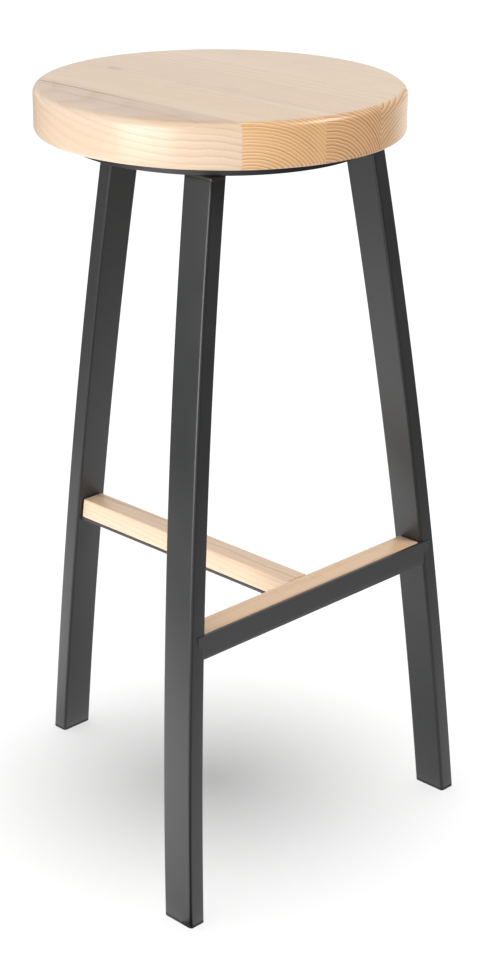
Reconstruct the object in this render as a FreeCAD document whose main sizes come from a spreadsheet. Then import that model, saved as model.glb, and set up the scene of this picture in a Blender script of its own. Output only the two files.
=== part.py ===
import FreeCAD, Part
import math
import os
import Sketcher

# Three-legged bar stool: a round seat glued from wooden staves stands on a flat
# steel ring, three bowed rectangular tubes carry the ring, and a T-shaped
# footrest of steel with wooden treads ties the tubes together.
# Millimetres, +Z up. The crossbar of the footrest is on the -Y side, the rear
# leg is on the +Y side, and the origin is on the floor at the middle of the
# stool's outline.

os.makedirs("parts", exist_ok=True)
doc = FreeCAD.newDocument("bar_stool")
sheet = doc.addObject("Spreadsheet::Sheet", "sheet")

sizes = {
    # seat
    "seat_height": 820.0,
    "seat_diameter": 377.0,
    "seat_thick": 46.0,
    "seat_round_top": 8.0,
    "seat_round_bottom": 5.0,
    "stave_pitch": 76.0,
    "glue_line_x": 34.0,
    # flat ring below the seat
    "ring_diameter": 312.0,
    "ring_width": 25.0,
    "ring_thick": 12.0,
    # legs: bowed rectangular tube, from the ring down to the floor
    "tube_wide": 40.0,
    "tube_thin": 20.0,
    "tube_wall": 2.0,
    "tube_corner": 3.5,
    "cap_thick": 3.0,
    "front_top_x": 113.0,
    "front_top_y": 93.0,
    "front_foot_x": 201.5,
    "front_foot_y": 153.0,
    "front_bow": 11.4,
    "rear_top_y": 143.5,
    "rear_foot_y": 253.5,
    "rear_bow": 9.7,
    # plastic glides in the tube ends
    "glide_pad": 3.0,
    "glide_plug": 18.0,
    "glide_play": 0.15,
    # footrest
    "footrest_height": 312.0,
    "steel_thick": 3.0,
    "tread_wide": 28.0,
    "tread_thick": 23.0,
    "tread_round": 1.5,
    "tread_gap": 0.8,
    "wall_gap": 1.0,
    "joint_gap": 0.3,
    "stem_wide": 28.0,
    # fastenings
    "seat_screw_length": 38.0,
    "tread_screw_length": 20.0,
    "screw_shank": 5.0,
    "screw_head": 10.0,
    "screw_cone": 3.0,
    "socket_wide": 3.2,
    "socket_deep": 2.2,
    "pilot_play": 0.05,
    "hole_play": 0.3,
    "bar_screw_pitch": 110.0,
    "stem_screw_pitch": 150.0,
    # weld beads
    "bead_ring": 5.0,
    "bead_bar": 4.0,
}
for row, (alias, size) in enumerate(sizes.items(), start=1):
    sheet.set("A%d" % row, alias)
    sheet.set("B%d" % row, str(size))
    sheet.setAlias("B%d" % row, alias)
doc.recompute()

seatScrews = 6
barScrews = 3
stemScrews = 2
staveCount = 5
tubeSpans = 8

# Lengths that follow from the sheet, written as expressions over its cells.
seatRadius = "(sheet.seat_diameter / 2)"
seatBottom = "(sheet.seat_height - sheet.seat_thick)"
legTop = "(sheet.seat_height - sheet.seat_thick - sheet.ring_thick)"
tubeTop = "(%s - sheet.cap_thick)" % legTop
ringMiddle = "((sheet.ring_diameter - sheet.ring_width) / 2)"
barThick = "(sheet.tread_thick + sheet.steel_thick)"
barBottom = "(sheet.footrest_height - %s)" % barThick
treadBottom = "(%s + sheet.steel_thick)" % barBottom
barMiddle = "(sheet.footrest_height - %s / 2)" % barThick


def number(expression):
    """Value of an expression over the sheet's cells."""
    result = sheet.evalExpression(expression)
    return float(getattr(result, "Value", result))


def legShape(turn, topOut, topSide, footOut, footSide, bow):
    """Expressions that place one bowed leg.

    The leg is seen in a frame turned about Z so that it bows outwards along
    X. Its chord runs from (topOut, topSide) at the ring to (footOut, footSide)
    on the floor, and its middle stands bow outside that chord.
    """
    rise = "sqrt(pow(%s - %s; 2) + pow(%s; 2))" % (footSide, topSide, legTop)
    out = "(%s - %s)" % (footOut, topOut)
    chord = "sqrt(pow(%s; 2) + pow(%s; 2))" % (out, rise)
    lean = "(-atan(%s / %s))" % (out, rise)
    tilt = "atan((%s - %s) / %s)" % (footSide, topSide, legTop)
    radius = "((pow(%s; 2) / 4 + pow(%s; 2)) / (2 * %s))" % (chord, bow, bow)
    share = "(1 - %s / %s)" % (barMiddle, legTop)
    bulge = "4 * %s * %s * (1 - %s)" % (bow, share, share)
    return {
        "turn": turn,
        "lean": lean,
        "tilt": tilt,
        "radius": radius,
        "sweep": "(2 * asin(%s / 2 / %s) + 8 * asin(sheet.tube_thin / %s))" % (chord, radius, radius),
        "middle": "vector((%s + %s) / 2; (%s + %s) / 2; %s / 2)" % (
            topOut, footOut, topSide, footSide, legTop),
        "bow": bow,
        "barOut": "(%s + %s * %s + %s)" % (topOut, out, share, bulge),
        "barSide": "(%s + (%s - %s) * %s)" % (topSide, footSide, topSide, share),
        "topOut": topOut,
        "topSide": topSide,
    }


legs = {
    "left": legShape(180, "sheet.front_top_x", "sheet.front_top_y",
                     "sheet.front_foot_x", "sheet.front_foot_y", "sheet.front_bow"),
    "right": legShape(0, "sheet.front_top_x", "(-sheet.front_top_y)",
                      "sheet.front_foot_x", "(-sheet.front_foot_y)", "sheet.front_bow"),
    "rear": legShape(90, "sheet.rear_top_y", "0", "sheet.rear_foot_y", "0", "sheet.rear_bow"),
}

# The outline's middle: the rear foot and the seat's or the front feet's front.
footLean = "(-%s - asin(sqrt(1 - pow(1 - %s / %s; 2))))" % (
    legs["rear"]["lean"], legs["rear"]["bow"], legs["rear"]["radius"])
rearEdge = "max(%s; sheet.rear_foot_y + sheet.tube_thin / 2 / cos(%s))" % (seatRadius, footLean)
frontEdge = "max(%s; sheet.front_foot_y + sheet.tube_wide / 2 / cos(%s))" % (
    seatRadius, legs["left"]["tilt"])
centreY = "((%s - %s) / 2)" % (rearEdge, frontEdge)

# The crossbar's steel front wall is flush with the front legs' narrow faces.
barFront = "(%s - sheet.tube_wide / 2)" % legs["right"]["barSide"]
treadFront = "(%s + sheet.steel_thick + sheet.wall_gap)" % barFront
barBack = "(%s + sheet.tread_wide)" % treadFront
barReach = legs["right"]["barOut"]
rearReach = legs["rear"]["barOut"]


# ---- building helpers ----

def bind(feature, **properties):
    """Bind properties to expressions; a double underscore stands for a dot."""
    for name, expression in properties.items():
        feature.setExpression(name.replace("__", "."), expression)
    return feature


def place(feature, x="0", y="0", z="0"):
    return bind(feature, Placement__Base__x=x, Placement__Base__y=y, Placement__Base__z=z)


def primitive(kind, name, x="0", y="0", z="0", **properties):
    return place(bind(doc.addObject("Part::" + kind, name), **properties), x, y, z)


def box(name, low, high):
    """Box between two corners, each given as three expressions."""
    span = ["(%s) - (%s)" % (far, near) for near, far in zip(low, high)]
    return primitive("Box", name, *low, Length=span[0], Width=span[1], Height=span[2])


def boolean(kind, name, base, tool):
    feature = doc.addObject("Part::" + kind, name)
    feature.Base = base
    feature.Tool = tool
    return feature


def fuse(name, shapes):
    feature = doc.addObject("Part::MultiFuse", name)
    feature.Shapes = shapes
    return feature


def compound(name, shapes):
    feature = doc.addObject("Part::Compound", name)
    feature.Links = shapes
    return feature


def newSketch(body, name, role):
    sketch = body.newObject("Sketcher::SketchObject", name)
    plane = [item for item in body.Origin.OriginFeatures if item.Role == role][0]
    sketch.AttachmentSupport = [(plane, "")]
    sketch.MapMode = "FlatFace"
    return sketch


def bindDatum(sketch, constraint, expression):
    index = sketch.addConstraint(constraint)
    sketch.setExpression("Constraints[%d]" % index, expression)


def roundedRectangle(sketch, wide, deep, corner):
    """Rectangle of wide by deep about the sketch's origin, its corners round."""
    x, y, r = number(wide) / 2, number(deep) / 2, number(corner)
    first = sketch.GeometryCount
    centres = [(x - r, r - y), (x - r, y - r), (r - x, y - r), (r - x, r - y)]
    starts = [(x - r, -y), (x, y - r), (r - x, y), (-x, r - y)]
    ends = [(x, r - y), (x - r, y), (-x, y - r), (r - x, -y)]
    for turn in range(4):
        before = FreeCAD.Vector(*ends[turn - 1], 0)
        start = FreeCAD.Vector(*starts[turn], 0)
        circle = Part.Circle(FreeCAD.Vector(*centres[turn], 0), FreeCAD.Vector(0, 0, 1), r)
        angle = math.pi / 2 * (turn - 1)
        sketch.addGeometry(Part.LineSegment(before, start), False)
        sketch.addGeometry(Part.ArcOfCircle(circle, angle, angle + math.pi / 2), False)
    for turn in range(4):
        line, arc = first + 2 * turn, first + 2 * turn + 1
        following = first + (2 * turn + 2) % 8
        sketch.addConstraint(Sketcher.Constraint("Tangent", line, 2, arc, 1))
        sketch.addConstraint(Sketcher.Constraint("Tangent", arc, 2, following, 1))
        sketch.addConstraint(Sketcher.Constraint("Horizontal" if turn % 2 == 0 else "Vertical", line))
    for arc in (first + 3, first + 5, first + 7):
        sketch.addConstraint(Sketcher.Constraint("Equal", first + 1, arc))
    sketch.addConstraint(Sketcher.Constraint("Symmetric", first + 1, 3, first + 5, 3, -1, 1))
    bindDatum(sketch, Sketcher.Constraint("Radius", first + 1, r), corner)
    bindDatum(sketch, Sketcher.Constraint("DistanceX", first + 5, 3, first + 1, 3, 2 * (x - r)),
              "%s - 2 * (%s)" % (wide, corner))
    bindDatum(sketch, Sketcher.Constraint("DistanceY", first + 1, 3, first + 5, 3, 2 * (y - r)),
              "%s - 2 * (%s)" % (deep, corner))


def uprightLine(sketch, x):
    """Upright construction line at x, the first axis of the sketch."""
    at = number(x)
    line = Part.LineSegment(FreeCAD.Vector(at, -1, 0), FreeCAD.Vector(at, 1, 0))
    index = sketch.addGeometry(line, True)
    sketch.addConstraint(Sketcher.Constraint("Vertical", index))
    bindDatum(sketch, Sketcher.Constraint("DistanceX", -1, 1, index, 1, at), x)


def polygon(sketch, corners):
    """Closed outline whose corners are pairs of expressions."""
    points = [FreeCAD.Vector(number(x), number(y), 0) for x, y in corners]
    count = len(points)
    for index in range(count):
        sketch.addGeometry(Part.LineSegment(points[index], points[(index + 1) % count]), False)
    for index, (x, y) in enumerate(corners):
        sketch.addConstraint(Sketcher.Constraint("Coincident", index, 2, (index + 1) % count, 1))
        bindDatum(sketch, Sketcher.Constraint("DistanceX", -1, 1, index, 1, points[index].x), x)
        bindDatum(sketch, Sketcher.Constraint("DistanceY", -1, 1, index, 1, points[index].y), y)


subparts = []


def keep(feature, label):
    """Name a finished sub-part and move it to the stool's own origin."""
    feature.Label = label
    feature.setExpression("Placement.Base.y", "-%s" % centreY)
    subparts.append(feature)
    return feature


# ---- bowed bars: tube, bore, clearance and plug of each leg ----

def bowedBar(name, leg, grow):
    """Solid bar along a leg's arc, grown by an expression on its four sides.

    The rounded rectangle is revolved about a far axis, so both ends are
    square to the arc; it runs past the ring and the floor, to be trimmed.
    """
    body = doc.addObject("PartDesign::Body", name)
    sketch = newSketch(body, name + "_section", "XY_Plane")
    roundedRectangle(sketch, "sheet.tube_thin + 2 * (%s)" % grow,
                     "sheet.tube_wide + 2 * (%s)" % grow,
                     "max(sheet.tube_corner + %s; 0.5)" % grow)
    uprightLine(sketch, "-%s" % leg["radius"])
    bar = body.newObject("PartDesign::Revolution", name + "_bend")
    bar.Profile = sketch
    bar.ReferenceAxis = (sketch, ["Axis0"])
    bar.Midplane = True
    bar.setExpression("Angle", leg["sweep"])
    rotation = "rotationz(%s) * rotationx(%s) * rotationy(%s)" % (leg["turn"], leg["tilt"], leg["lean"])
    stand = "rotationz(%s) * %s + %s * vector(%s; 0; 0)" % (leg["turn"], leg["middle"], rotation, leg["bow"])
    body.setExpression("Placement", "placement(%s; %s)" % (stand, rotation))
    return body


spread = "(2 * (sheet.rear_foot_y + sheet.front_foot_x))"


def slab(name, low, high):
    """Level slab wider than the stool, between two heights."""
    return box(name, ("-" + spread, "-" + spread, low), (spread, spread, high))


# Each tube is made in spans, because a mesh of its thin wall follows the slight
# bend only where the faces are short.
tubeSpan = "((%s - sheet.glide_pad) / %d)" % (tubeTop, tubeSpans)
tubeSlabs = [slab("tube_slab_%d" % (index + 1), "sheet.glide_pad + %s * %d" % (tubeSpan, index),
                  "sheet.glide_pad + %s * %d" % (tubeSpan, index + 1)) for index in range(tubeSpans)]
capSlab = slab("cap_slab", tubeTop, legTop)
padSlab = slab("pad_slab", "0", "sheet.glide_pad")
plugSlab = slab("plug_slab", "sheet.glide_pad", "sheet.glide_pad + sheet.glide_plug")

legSolids = {}
legRooms = {}
for side, leg in legs.items():
    solid = bowedBar("solid_" + side, leg, "0")
    bore = bowedBar("bore_" + side, leg, "-sheet.tube_wall")
    plug = bowedBar("plug_" + side, leg, "-sheet.tube_wall - sheet.glide_play")
    legSolids[side] = solid
    legRooms[side] = bowedBar("room_" + side, leg, "sheet.tread_gap")
    spans = []
    for index, spanSlab in enumerate(tubeSlabs, start=1):
        span = boolean("Common", "span_%s_%d" % (side, index), solid, spanSlab)
        spans.append(boolean("Cut", "tube_%s_%d" % (side, index), span, bore))
    keep(fuse("tube_" + side, spans), "leg_" + side)
    keep(boolean("Common", "cap_" + side, solid, capSlab), "leg_cap_" + side)
    pad = boolean("Common", "pad_" + side, solid, padSlab)
    stub = boolean("Common", "stub_" + side, plug, plugSlab)
    keep(fuse("foot_" + side, [pad, stub]), "glide_" + side)


# ---- screws and their holes ----

def screw(name, x, y, head, length):
    """Countersunk wood screw, its flat head at height head and facing down."""
    cone = primitive("Cone", name + "_head", x, y, head, Radius1="sheet.screw_head / 2",
                     Radius2="sheet.screw_shank / 2", Height="sheet.screw_cone")
    shank = primitive("Cylinder", name + "_shank", x, y, "%s + sheet.screw_cone" % head,
                      Radius="sheet.screw_shank / 2",
                      Height="%s - sheet.screw_cone - sheet.screw_shank" % length)
    tip = primitive("Cone", name + "_tip", x, y, "%s + %s - sheet.screw_shank" % (head, length),
                    Radius1="sheet.screw_shank / 2", Radius2="sheet.screw_shank / 8",
                    Height="sheet.screw_shank")
    socket = primitive("Prism", name + "_socket", x, y, head,
                       Circumradius="sheet.socket_wide / 2 / cos(30)", Height="sheet.socket_deep")
    return boolean("Cut", name, fuse(name + "_blank", [cone, shank, tip]), socket)


def sunkHole(name, x, y, head, plate):
    """Countersunk through hole in a plate whose lower face is at head."""
    cone = primitive("Cone", name + "_sink", x, y, head,
                     Radius1="sheet.screw_head / 2 + sheet.pilot_play",
                     Radius2="sheet.screw_shank / 2 + sheet.pilot_play", Height="sheet.screw_cone")
    through = primitive("Cylinder", name + "_through", x, y, head,
                        Radius="sheet.screw_shank / 2 + sheet.hole_play", Height=plate)
    return fuse(name, [cone, through])


def pilotHole(name, x, y, bottom, deep):
    return primitive("Cylinder", name, x, y, bottom, Height=deep,
                     Radius="sheet.screw_shank / 2 + sheet.pilot_play")


def screwSet(name, spots, head, plate, length):
    """Screws at the spots, the holes they need in the plate and in the wood."""
    screws, holes, pilots = [], [], []
    for index, (x, y) in enumerate(spots, start=1):
        screws.append(screw("%s_screw_%d" % (name, index), x, y, head, length))
        holes.append(sunkHole("%s_hole_%d" % (name, index), x, y, head, plate))
        pilots.append(pilotHole("%s_pilot_%d" % (name, index), x, y, "%s + %s" % (head, plate),
                                "%s - %s" % (length, plate)))
    return (compound(name + "_screws", screws), fuse(name + "_holes", holes),
            fuse(name + "_pilots", pilots))


# ---- seat: staves cut from one round blank, and the ring below ----

seatSpots = [("%s * cos(%d)" % (ringMiddle, turn), "%s * sin(%d)" % (ringMiddle, turn))
             for turn in range(0, 360, 360 // seatScrews)]
screws, ringHoles, seatPilots = screwSet("seat", seatSpots, legTop, "sheet.ring_thick",
                                         "sheet.seat_screw_length")
keep(screws, "seat_screws")

blank = doc.addObject("PartDesign::Body", "seat_blank")
half = newSketch(blank, "seat_half", "XZ_Plane")
polygon(half, [("0", seatBottom), (seatRadius, seatBottom),
               (seatRadius, "sheet.seat_height"), ("0", "sheet.seat_height")])
disc = blank.newObject("PartDesign::Revolution", "seat_disc")
disc.Profile = half
disc.ReferenceAxis = (half, ["V_Axis"])
disc.Angle = 360
doc.recompute()
for name, height, rounding in (("seat_top", "sheet.seat_height", "sheet.seat_round_top"),
                               ("seat_bottom", seatBottom, "sheet.seat_round_bottom")):
    base = blank.Tip
    rim = ["Edge%d" % index for index, edge in enumerate(base.Shape.Edges, start=1)
           if edge.BoundBox.ZLength < 0.01 and edge.BoundBox.XLength > number(seatRadius)
           and abs(edge.BoundBox.ZMin - number(height)) < 0.01]
    edgeRound = blank.newObject("PartDesign::Fillet", name + "_round")
    edgeRound.Base = (base, rim)
    edgeRound.setExpression("Radius", rounding)
    blank.Tip = edgeRound
    doc.recompute()

drilled = boolean("Cut", "seat_drilled", blank, seatPilots)
for index in range(staveCount):
    glued = ["(sheet.glue_line_x + sheet.stave_pitch * %d)" % (index + step - staveCount // 2 - 1)
             for step in (0, 1)]
    low = "-%s - 1" % seatRadius if index == 0 else glued[0]
    high = "%s + 1" % seatRadius if index == staveCount - 1 else glued[1]
    stock = box("stave_stock_%d" % (index + 1), (low, "-%s - 1" % seatRadius, "%s - 1" % seatBottom),
                (high, "%s + 1" % seatRadius, "sheet.seat_height + 1"))
    keep(boolean("Common", "stave_%d" % (index + 1), drilled, stock), "seat_stave_%d" % (index + 1))

ringOuter = primitive("Cylinder", "ring_outer", z=legTop, Radius="sheet.ring_diameter / 2",
                      Height="sheet.ring_thick")
ringInner = primitive("Cylinder", "ring_inner", z=legTop, Height="sheet.ring_thick",
                      Radius="sheet.ring_diameter / 2 - sheet.ring_width")
keep(boolean("Cut", "ring", boolean("Cut", "ring_blank", ringOuter, ringInner), ringHoles), "seat_ring")


# ---- footrest: steel crossbar and stem, and the wooden treads on them ----

barSpots = [("sheet.bar_screw_pitch * %d" % step, "(%s + sheet.tread_wide / 2)" % treadFront)
            for step in range(-(barScrews // 2), barScrews // 2 + 1)]
stemStart = "(%s + sheet.joint_gap)" % barBack
stemMiddle = "((%s + %s) / 2)" % (barBack, rearReach)
stemSpots = [("0", "(%s + sheet.stem_screw_pitch * %s)" % (stemMiddle, step - (stemScrews - 1) / 2))
             for step in range(stemScrews)]

barSet = screwSet("crossbar", barSpots, barBottom, "sheet.steel_thick", "sheet.tread_screw_length")
keep(barSet[0], "crossbar_screws")
stemSet = screwSet("stem", stemSpots, barBottom, "sheet.steel_thick", "sheet.tread_screw_length")
keep(stemSet[0], "stem_screws")

angle = doc.addObject("PartDesign::Body", "angle_stock")
section = newSketch(angle, "angle_section", "YZ_Plane")
polygon(section, [(barFront, barBottom), (barBack, barBottom), (barBack, treadBottom),
                  ("%s + sheet.steel_thick" % barFront, treadBottom),
                  ("%s + sheet.steel_thick" % barFront, "sheet.footrest_height"),
                  (barFront, "sheet.footrest_height")])
anglePad = angle.newObject("PartDesign::Pad", "angle_pad")
anglePad.Profile = section
anglePad.Midplane = True
anglePad.setExpression("Length", "2 * %s" % barReach)
frontLegs = fuse("front_leg_solids", [legSolids["left"], legSolids["right"]])
coped = boolean("Cut", "angle_coped", angle, frontLegs)
keep(boolean("Cut", "crossbar_steel", coped, barSet[1]), "footrest_crossbar")

flat = box("stem_stock", ("-sheet.stem_wide / 2", barBack, barBottom),
           ("sheet.stem_wide / 2", rearReach, treadBottom))
stemCoped = boolean("Cut", "stem_coped", flat, legSolids["rear"])
keep(boolean("Cut", "stem_steel", stemCoped, stemSet[1]), "footrest_stem")


def treadStock(name, low, high, run):
    """Wooden strip between two corners, its long edges along run rounded."""
    body = doc.addObject("PartDesign::Body", name)
    outline = newSketch(body, name + "_outline", "XY_Plane")
    outline.setExpression("AttachmentOffset.Base.z", treadBottom)
    polygon(outline, [(low[0], low[1]), (high[0], low[1]), (high[0], high[1]), (low[0], high[1])])
    pad = body.newObject("PartDesign::Pad", name + "_pad")
    pad.Profile = outline
    pad.setExpression("Length", "sheet.tread_thick")
    doc.recompute()
    span = "XLength" if run == "X" else "YLength"
    long = ["Edge%d" % index for index, edge in enumerate(pad.Shape.Edges, start=1)
            if getattr(edge.BoundBox, span) > number("sheet.tread_wide * 2")]
    eased = body.newObject("PartDesign::Fillet", name + "_eased")
    eased.Base = (pad, long)
    eased.setExpression("Radius", "sheet.tread_round")
    body.Tip = eased
    return body


frontRooms = fuse("front_leg_rooms", [legRooms["left"], legRooms["right"]])
barTread = treadStock("crossbar_wood", ("-" + barReach, treadFront), (barReach, barBack), "X")
keep(boolean("Cut", "crossbar_tread_drilled", boolean("Cut", "crossbar_tread_coped", barTread, frontRooms),
             barSet[2]), "crossbar_tread")
stemTread = treadStock("stem_wood", ("-sheet.stem_wide / 2", stemStart),
                       ("sheet.stem_wide / 2", rearReach), "Y")
keep(boolean("Cut", "stem_tread_drilled", boolean("Cut", "stem_tread_coped", stemTread, legRooms["rear"]),
             stemSet[2]), "stem_tread")


# ---- weld beads ----

def bead(name, place, axis, radius, length, parts):
    """Round rod in a corner, less the parts that meet there."""
    rod = doc.addObject("Part::Cylinder", name + "_rod")
    bind(rod, Radius=radius, Height=length, Placement="placement(%s; %s)" % (place, axis))
    return boolean("Cut", name, rod, fuse(name + "_parts", parts))


alongY = "rotationx(-90)"
ringBeads = []
for side, leg in legs.items():
    spot = "rotationz(%s) * vector(%s - sheet.tube_thin / 2; %s - sheet.ring_width / 2; %s)" % (
        leg["turn"], leg["topOut"], leg["topSide"], legTop)
    ringBeads.append(bead("ring_bead_" + side, spot, "rotationz(%s) * %s" % (leg["turn"], alongY),
                          "sheet.bead_ring", "sheet.ring_width", [legSolids[side], ringOuter]))
keep(compound("ring_beads", ringBeads), "ring_welds")

barSlab = slab("bar_slab", barBottom, "sheet.footrest_height")
barBeads = []
for side in ("left", "right"):
    face = "(%s - sheet.tube_thin / 2)" % barReach
    spot = "vector(%s%s; %s + sheet.bead_bar; %s)" % (
        "-" if side == "left" else "", face, barFront, barBottom)
    barBeads.append(bead("bar_bead_" + side, spot, alongY, "sheet.bead_bar",
                         "sheet.tread_wide - sheet.bead_bar", [legSolids[side], barSlab]))
spot = "vector(-sheet.stem_wide / 2; %s - sheet.tube_thin / 2; %s)" % (rearReach, barBottom)
barBeads.append(bead("stem_bead", spot, "rotationy(90)", "sheet.bead_bar", "sheet.stem_wide",
                     [legSolids["rear"], barSlab]))
keep(compound("bar_beads", barBeads), "footrest_welds")


# ---- check and write ----

doc.recompute()
for feature in doc.Objects:
    if "Invalid" in feature.State or "Error" in feature.State:
        raise RuntimeError("%s failed: %s" % (feature.Name, feature.State))
for feature in subparts:
    shape = feature.Shape
    if shape.isNull() or not shape.isValid() or not shape.Solids:
        raise RuntimeError("%s has no valid solid" % feature.Label)
for feature in subparts:
    feature.Shape.exportStep("parts/%s.step" % feature.Label)
    print("%-20s %d solid(s) %10.1f mm3" % (feature.Label, len(feature.Shape.Solids), feature.Shape.Volume))
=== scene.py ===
import math

import bmesh
import bpy
import numpy as np
from mathutils import Matrix, Vector


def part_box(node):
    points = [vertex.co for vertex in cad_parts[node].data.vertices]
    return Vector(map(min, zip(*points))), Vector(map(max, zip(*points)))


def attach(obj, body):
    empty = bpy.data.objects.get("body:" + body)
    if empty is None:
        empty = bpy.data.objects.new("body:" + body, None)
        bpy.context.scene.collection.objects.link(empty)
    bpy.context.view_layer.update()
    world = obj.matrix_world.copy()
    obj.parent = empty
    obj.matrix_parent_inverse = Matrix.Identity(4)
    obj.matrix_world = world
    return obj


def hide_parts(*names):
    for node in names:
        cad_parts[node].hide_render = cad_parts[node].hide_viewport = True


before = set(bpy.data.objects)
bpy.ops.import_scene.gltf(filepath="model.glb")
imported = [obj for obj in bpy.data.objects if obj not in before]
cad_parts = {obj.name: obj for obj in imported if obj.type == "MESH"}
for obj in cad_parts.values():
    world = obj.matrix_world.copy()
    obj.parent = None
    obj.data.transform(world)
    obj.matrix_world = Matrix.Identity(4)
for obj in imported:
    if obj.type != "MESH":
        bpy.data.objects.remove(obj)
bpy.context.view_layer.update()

print("frame loaded:", len(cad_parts), "nodes")

# Main sizes of the stool in metres, in the stool's own frame: +Z up, crossbar on -Y
stool = {
    "seatHeight": 0.820,
    "seatThick": 0.046,
    "ringThick": 0.012,
    "ringWide": 0.025,
    "footrestHeight": 0.312,
    "stemWide": 0.028,
}
seatBottom = stool["seatHeight"] - stool["seatThick"]
legTop = seatBottom - stool["ringThick"]
ringLow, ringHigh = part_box("seat_ring")
axisY = (ringLow.y + ringHigh.y) / 2      # the seat's axis stands at x 0 and this y


# How meshes are cleaned and shaded; angles in degrees
meshing = {
    "merge": 2e-6,               # points closer than this become one
    "degenerate": 1e-7,
    "gridSharp": 32,             # edges past this angle stay crisp
    "copySharp": 35,
    "flat": 0.5,                 # faces of a copy within this angle are made one
    "eased": 40,                 # and edges past this angle are bevelled
    "bevelSegments": 3,
}


def smoothPiece(name, mesh, sharp):
    mesh.polygons.foreach_set("use_smooth", np.ones(len(mesh.polygons), bool))
    mesh.set_sharp_from_angle(angle=math.radians(sharp))
    piece = bpy.data.objects.new(name, mesh)
    bpy.context.scene.collection.objects.link(piece)
    return piece


def pieceFromGrids(name, grids, finish, nodes):
    # Each grid is (rows, columns, 3) points, wrapRows, wrapColumns: one quad between neighbours.
    # Doubles are merged so that seams and poles close, then the normals are turned outwards.
    points, faces, base = [], [], 0
    for grid, wrapRows, wrapColumns in grids:
        rows, columns = grid.shape[:2]
        index = np.arange(rows * columns).reshape(rows, columns) + base
        below = index if wrapRows else index[:-1]
        above = np.roll(index, -1, axis=0) if wrapRows else index[1:]
        if wrapColumns:
            quads = np.stack([below, np.roll(below, -1, 1), np.roll(above, -1, 1), above], axis=-1)
        else:
            quads = np.stack([below[:, :-1], below[:, 1:], above[:, 1:], above[:, :-1]], axis=-1)
        points.append(grid.reshape(-1, 3))
        faces.append(quads.reshape(-1, 4))
        base += rows * columns
    mesh = bpy.data.meshes.new(name)
    mesh.from_pydata(np.concatenate(points), [], np.concatenate(faces))
    work = bmesh.new()
    work.from_mesh(mesh)
    bmesh.ops.remove_doubles(work, verts=work.verts, dist=meshing["merge"])
    bmesh.ops.dissolve_degenerate(work, edges=work.edges, dist=meshing["degenerate"])
    bmesh.ops.recalc_face_normals(work, faces=work.faces)
    work.to_mesh(mesh)
    work.free()
    return dress(smoothPiece(name, mesh, meshing["gridSharp"]), finish, nodes)


def dress(piece, finish, nodes):
    piece.data.materials.clear()
    piece.data.materials.append(finish)
    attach(piece, "root")
    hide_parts(*nodes)
    return piece


def easedCopy(name, node, finish, ease):
    # A merged copy of a CAD node with its flat faces made whole and its edges eased by a bevel
    work = bmesh.new()
    work.from_mesh(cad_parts[node].data)
    bmesh.ops.remove_doubles(work, verts=work.verts, dist=meshing["merge"])
    bmesh.ops.dissolve_limit(work, angle_limit=math.radians(meshing["flat"]),
                             verts=work.verts, edges=work.edges)
    mesh = bpy.data.meshes.new(name)
    work.to_mesh(mesh)
    work.free()
    piece = smoothPiece(name, mesh, meshing["copySharp"])
    if ease:
        bevel = piece.modifiers.new("easedEdges", "BEVEL")
        bevel.width = ease
        bevel.segments = meshing["bevelSegments"]
        bevel.limit_method = "ANGLE"
        bevel.angle_limit = math.radians(meshing["eased"])
        bevel.use_clamp_overlap = True
        bevel.harden_normals = True
    return dress(piece, finish, [node])


def roundedOutline(wide, deep, corner, steps):
    # Corner centres and unit directions of a rounded rectangle:
    # point = centre + (corner - inset) * direction
    angles = np.linspace(0, math.pi / 2, steps)
    directions, centres = [], []
    for quarter, (sx, sy) in enumerate(((1, 1), (-1, 1), (-1, -1), (1, -1))):
        turn = angles + quarter * math.pi / 2
        directions.append(np.stack([np.cos(turn), np.sin(turn)], axis=-1))
        centres.append(np.tile([sx * (wide / 2 - corner), sy * (deep / 2 - corner)], (steps, 1)))
    return np.concatenate(centres), np.concatenate(directions)


# Each leg bows outwards in a frame turned about Z: out is away from the seat's axis and side is
# across it
legSizes = {
    "wide": 0.040,
    "thin": 0.020,
    "wall": 0.002,
    "corner": 0.0035,
    "cap": 0.003,
    "pad": 0.003,
    "padEase": 0.0005,
    "plug": 0.018,
    "plugPlay": 0.00015,
    "ease": 0.0004,
    "cornerSteps": 9,
    "rows": 60,                  # along the outside of a tube
    "boreRows": 13,              # and along its bore
    "capRows": 3,
    "legs": {
        # turn, topOut, topSide, footOut, footSide, bow
        "left": (180, 0.113, 0.093, 0.2015, 0.153, 0.0114),
        "right": (0, 0.113, -0.093, 0.2015, -0.153, 0.0114),
        "rear": (90, 0.1435, 0.0, 0.2535, 0.0, 0.0097),
    },
}
tubeTop = legTop - legSizes["cap"]


def legFrame(side):
    # The leg's arc lies in a plane: chord from foot to top, its middle lifted outwards by bow
    turn, topOut, topSide, footOut, footSide, bow = legSizes["legs"][side]
    rise = math.hypot(footSide - topSide, legTop)
    out = footOut - topOut
    chord = math.hypot(out, rise)
    radius = (chord ** 2 / 4 + bow ** 2) / (2 * bow)
    spin = Matrix.Rotation(math.radians(turn), 3, "Z")
    lean = Matrix.Rotation(math.atan((footSide - topSide) / legTop), 3, "X")
    rotation = spin @ lean @ Matrix.Rotation(-math.atan(out / rise), 3, "Y")
    middle = spin @ Vector(((topOut + footOut) / 2, (topSide + footSide) / 2, legTop / 2))
    middle += rotation @ Vector((bow, 0, 0)) + Vector((0, axisY, 0))
    return np.array(rotation), np.array(middle), radius


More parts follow.
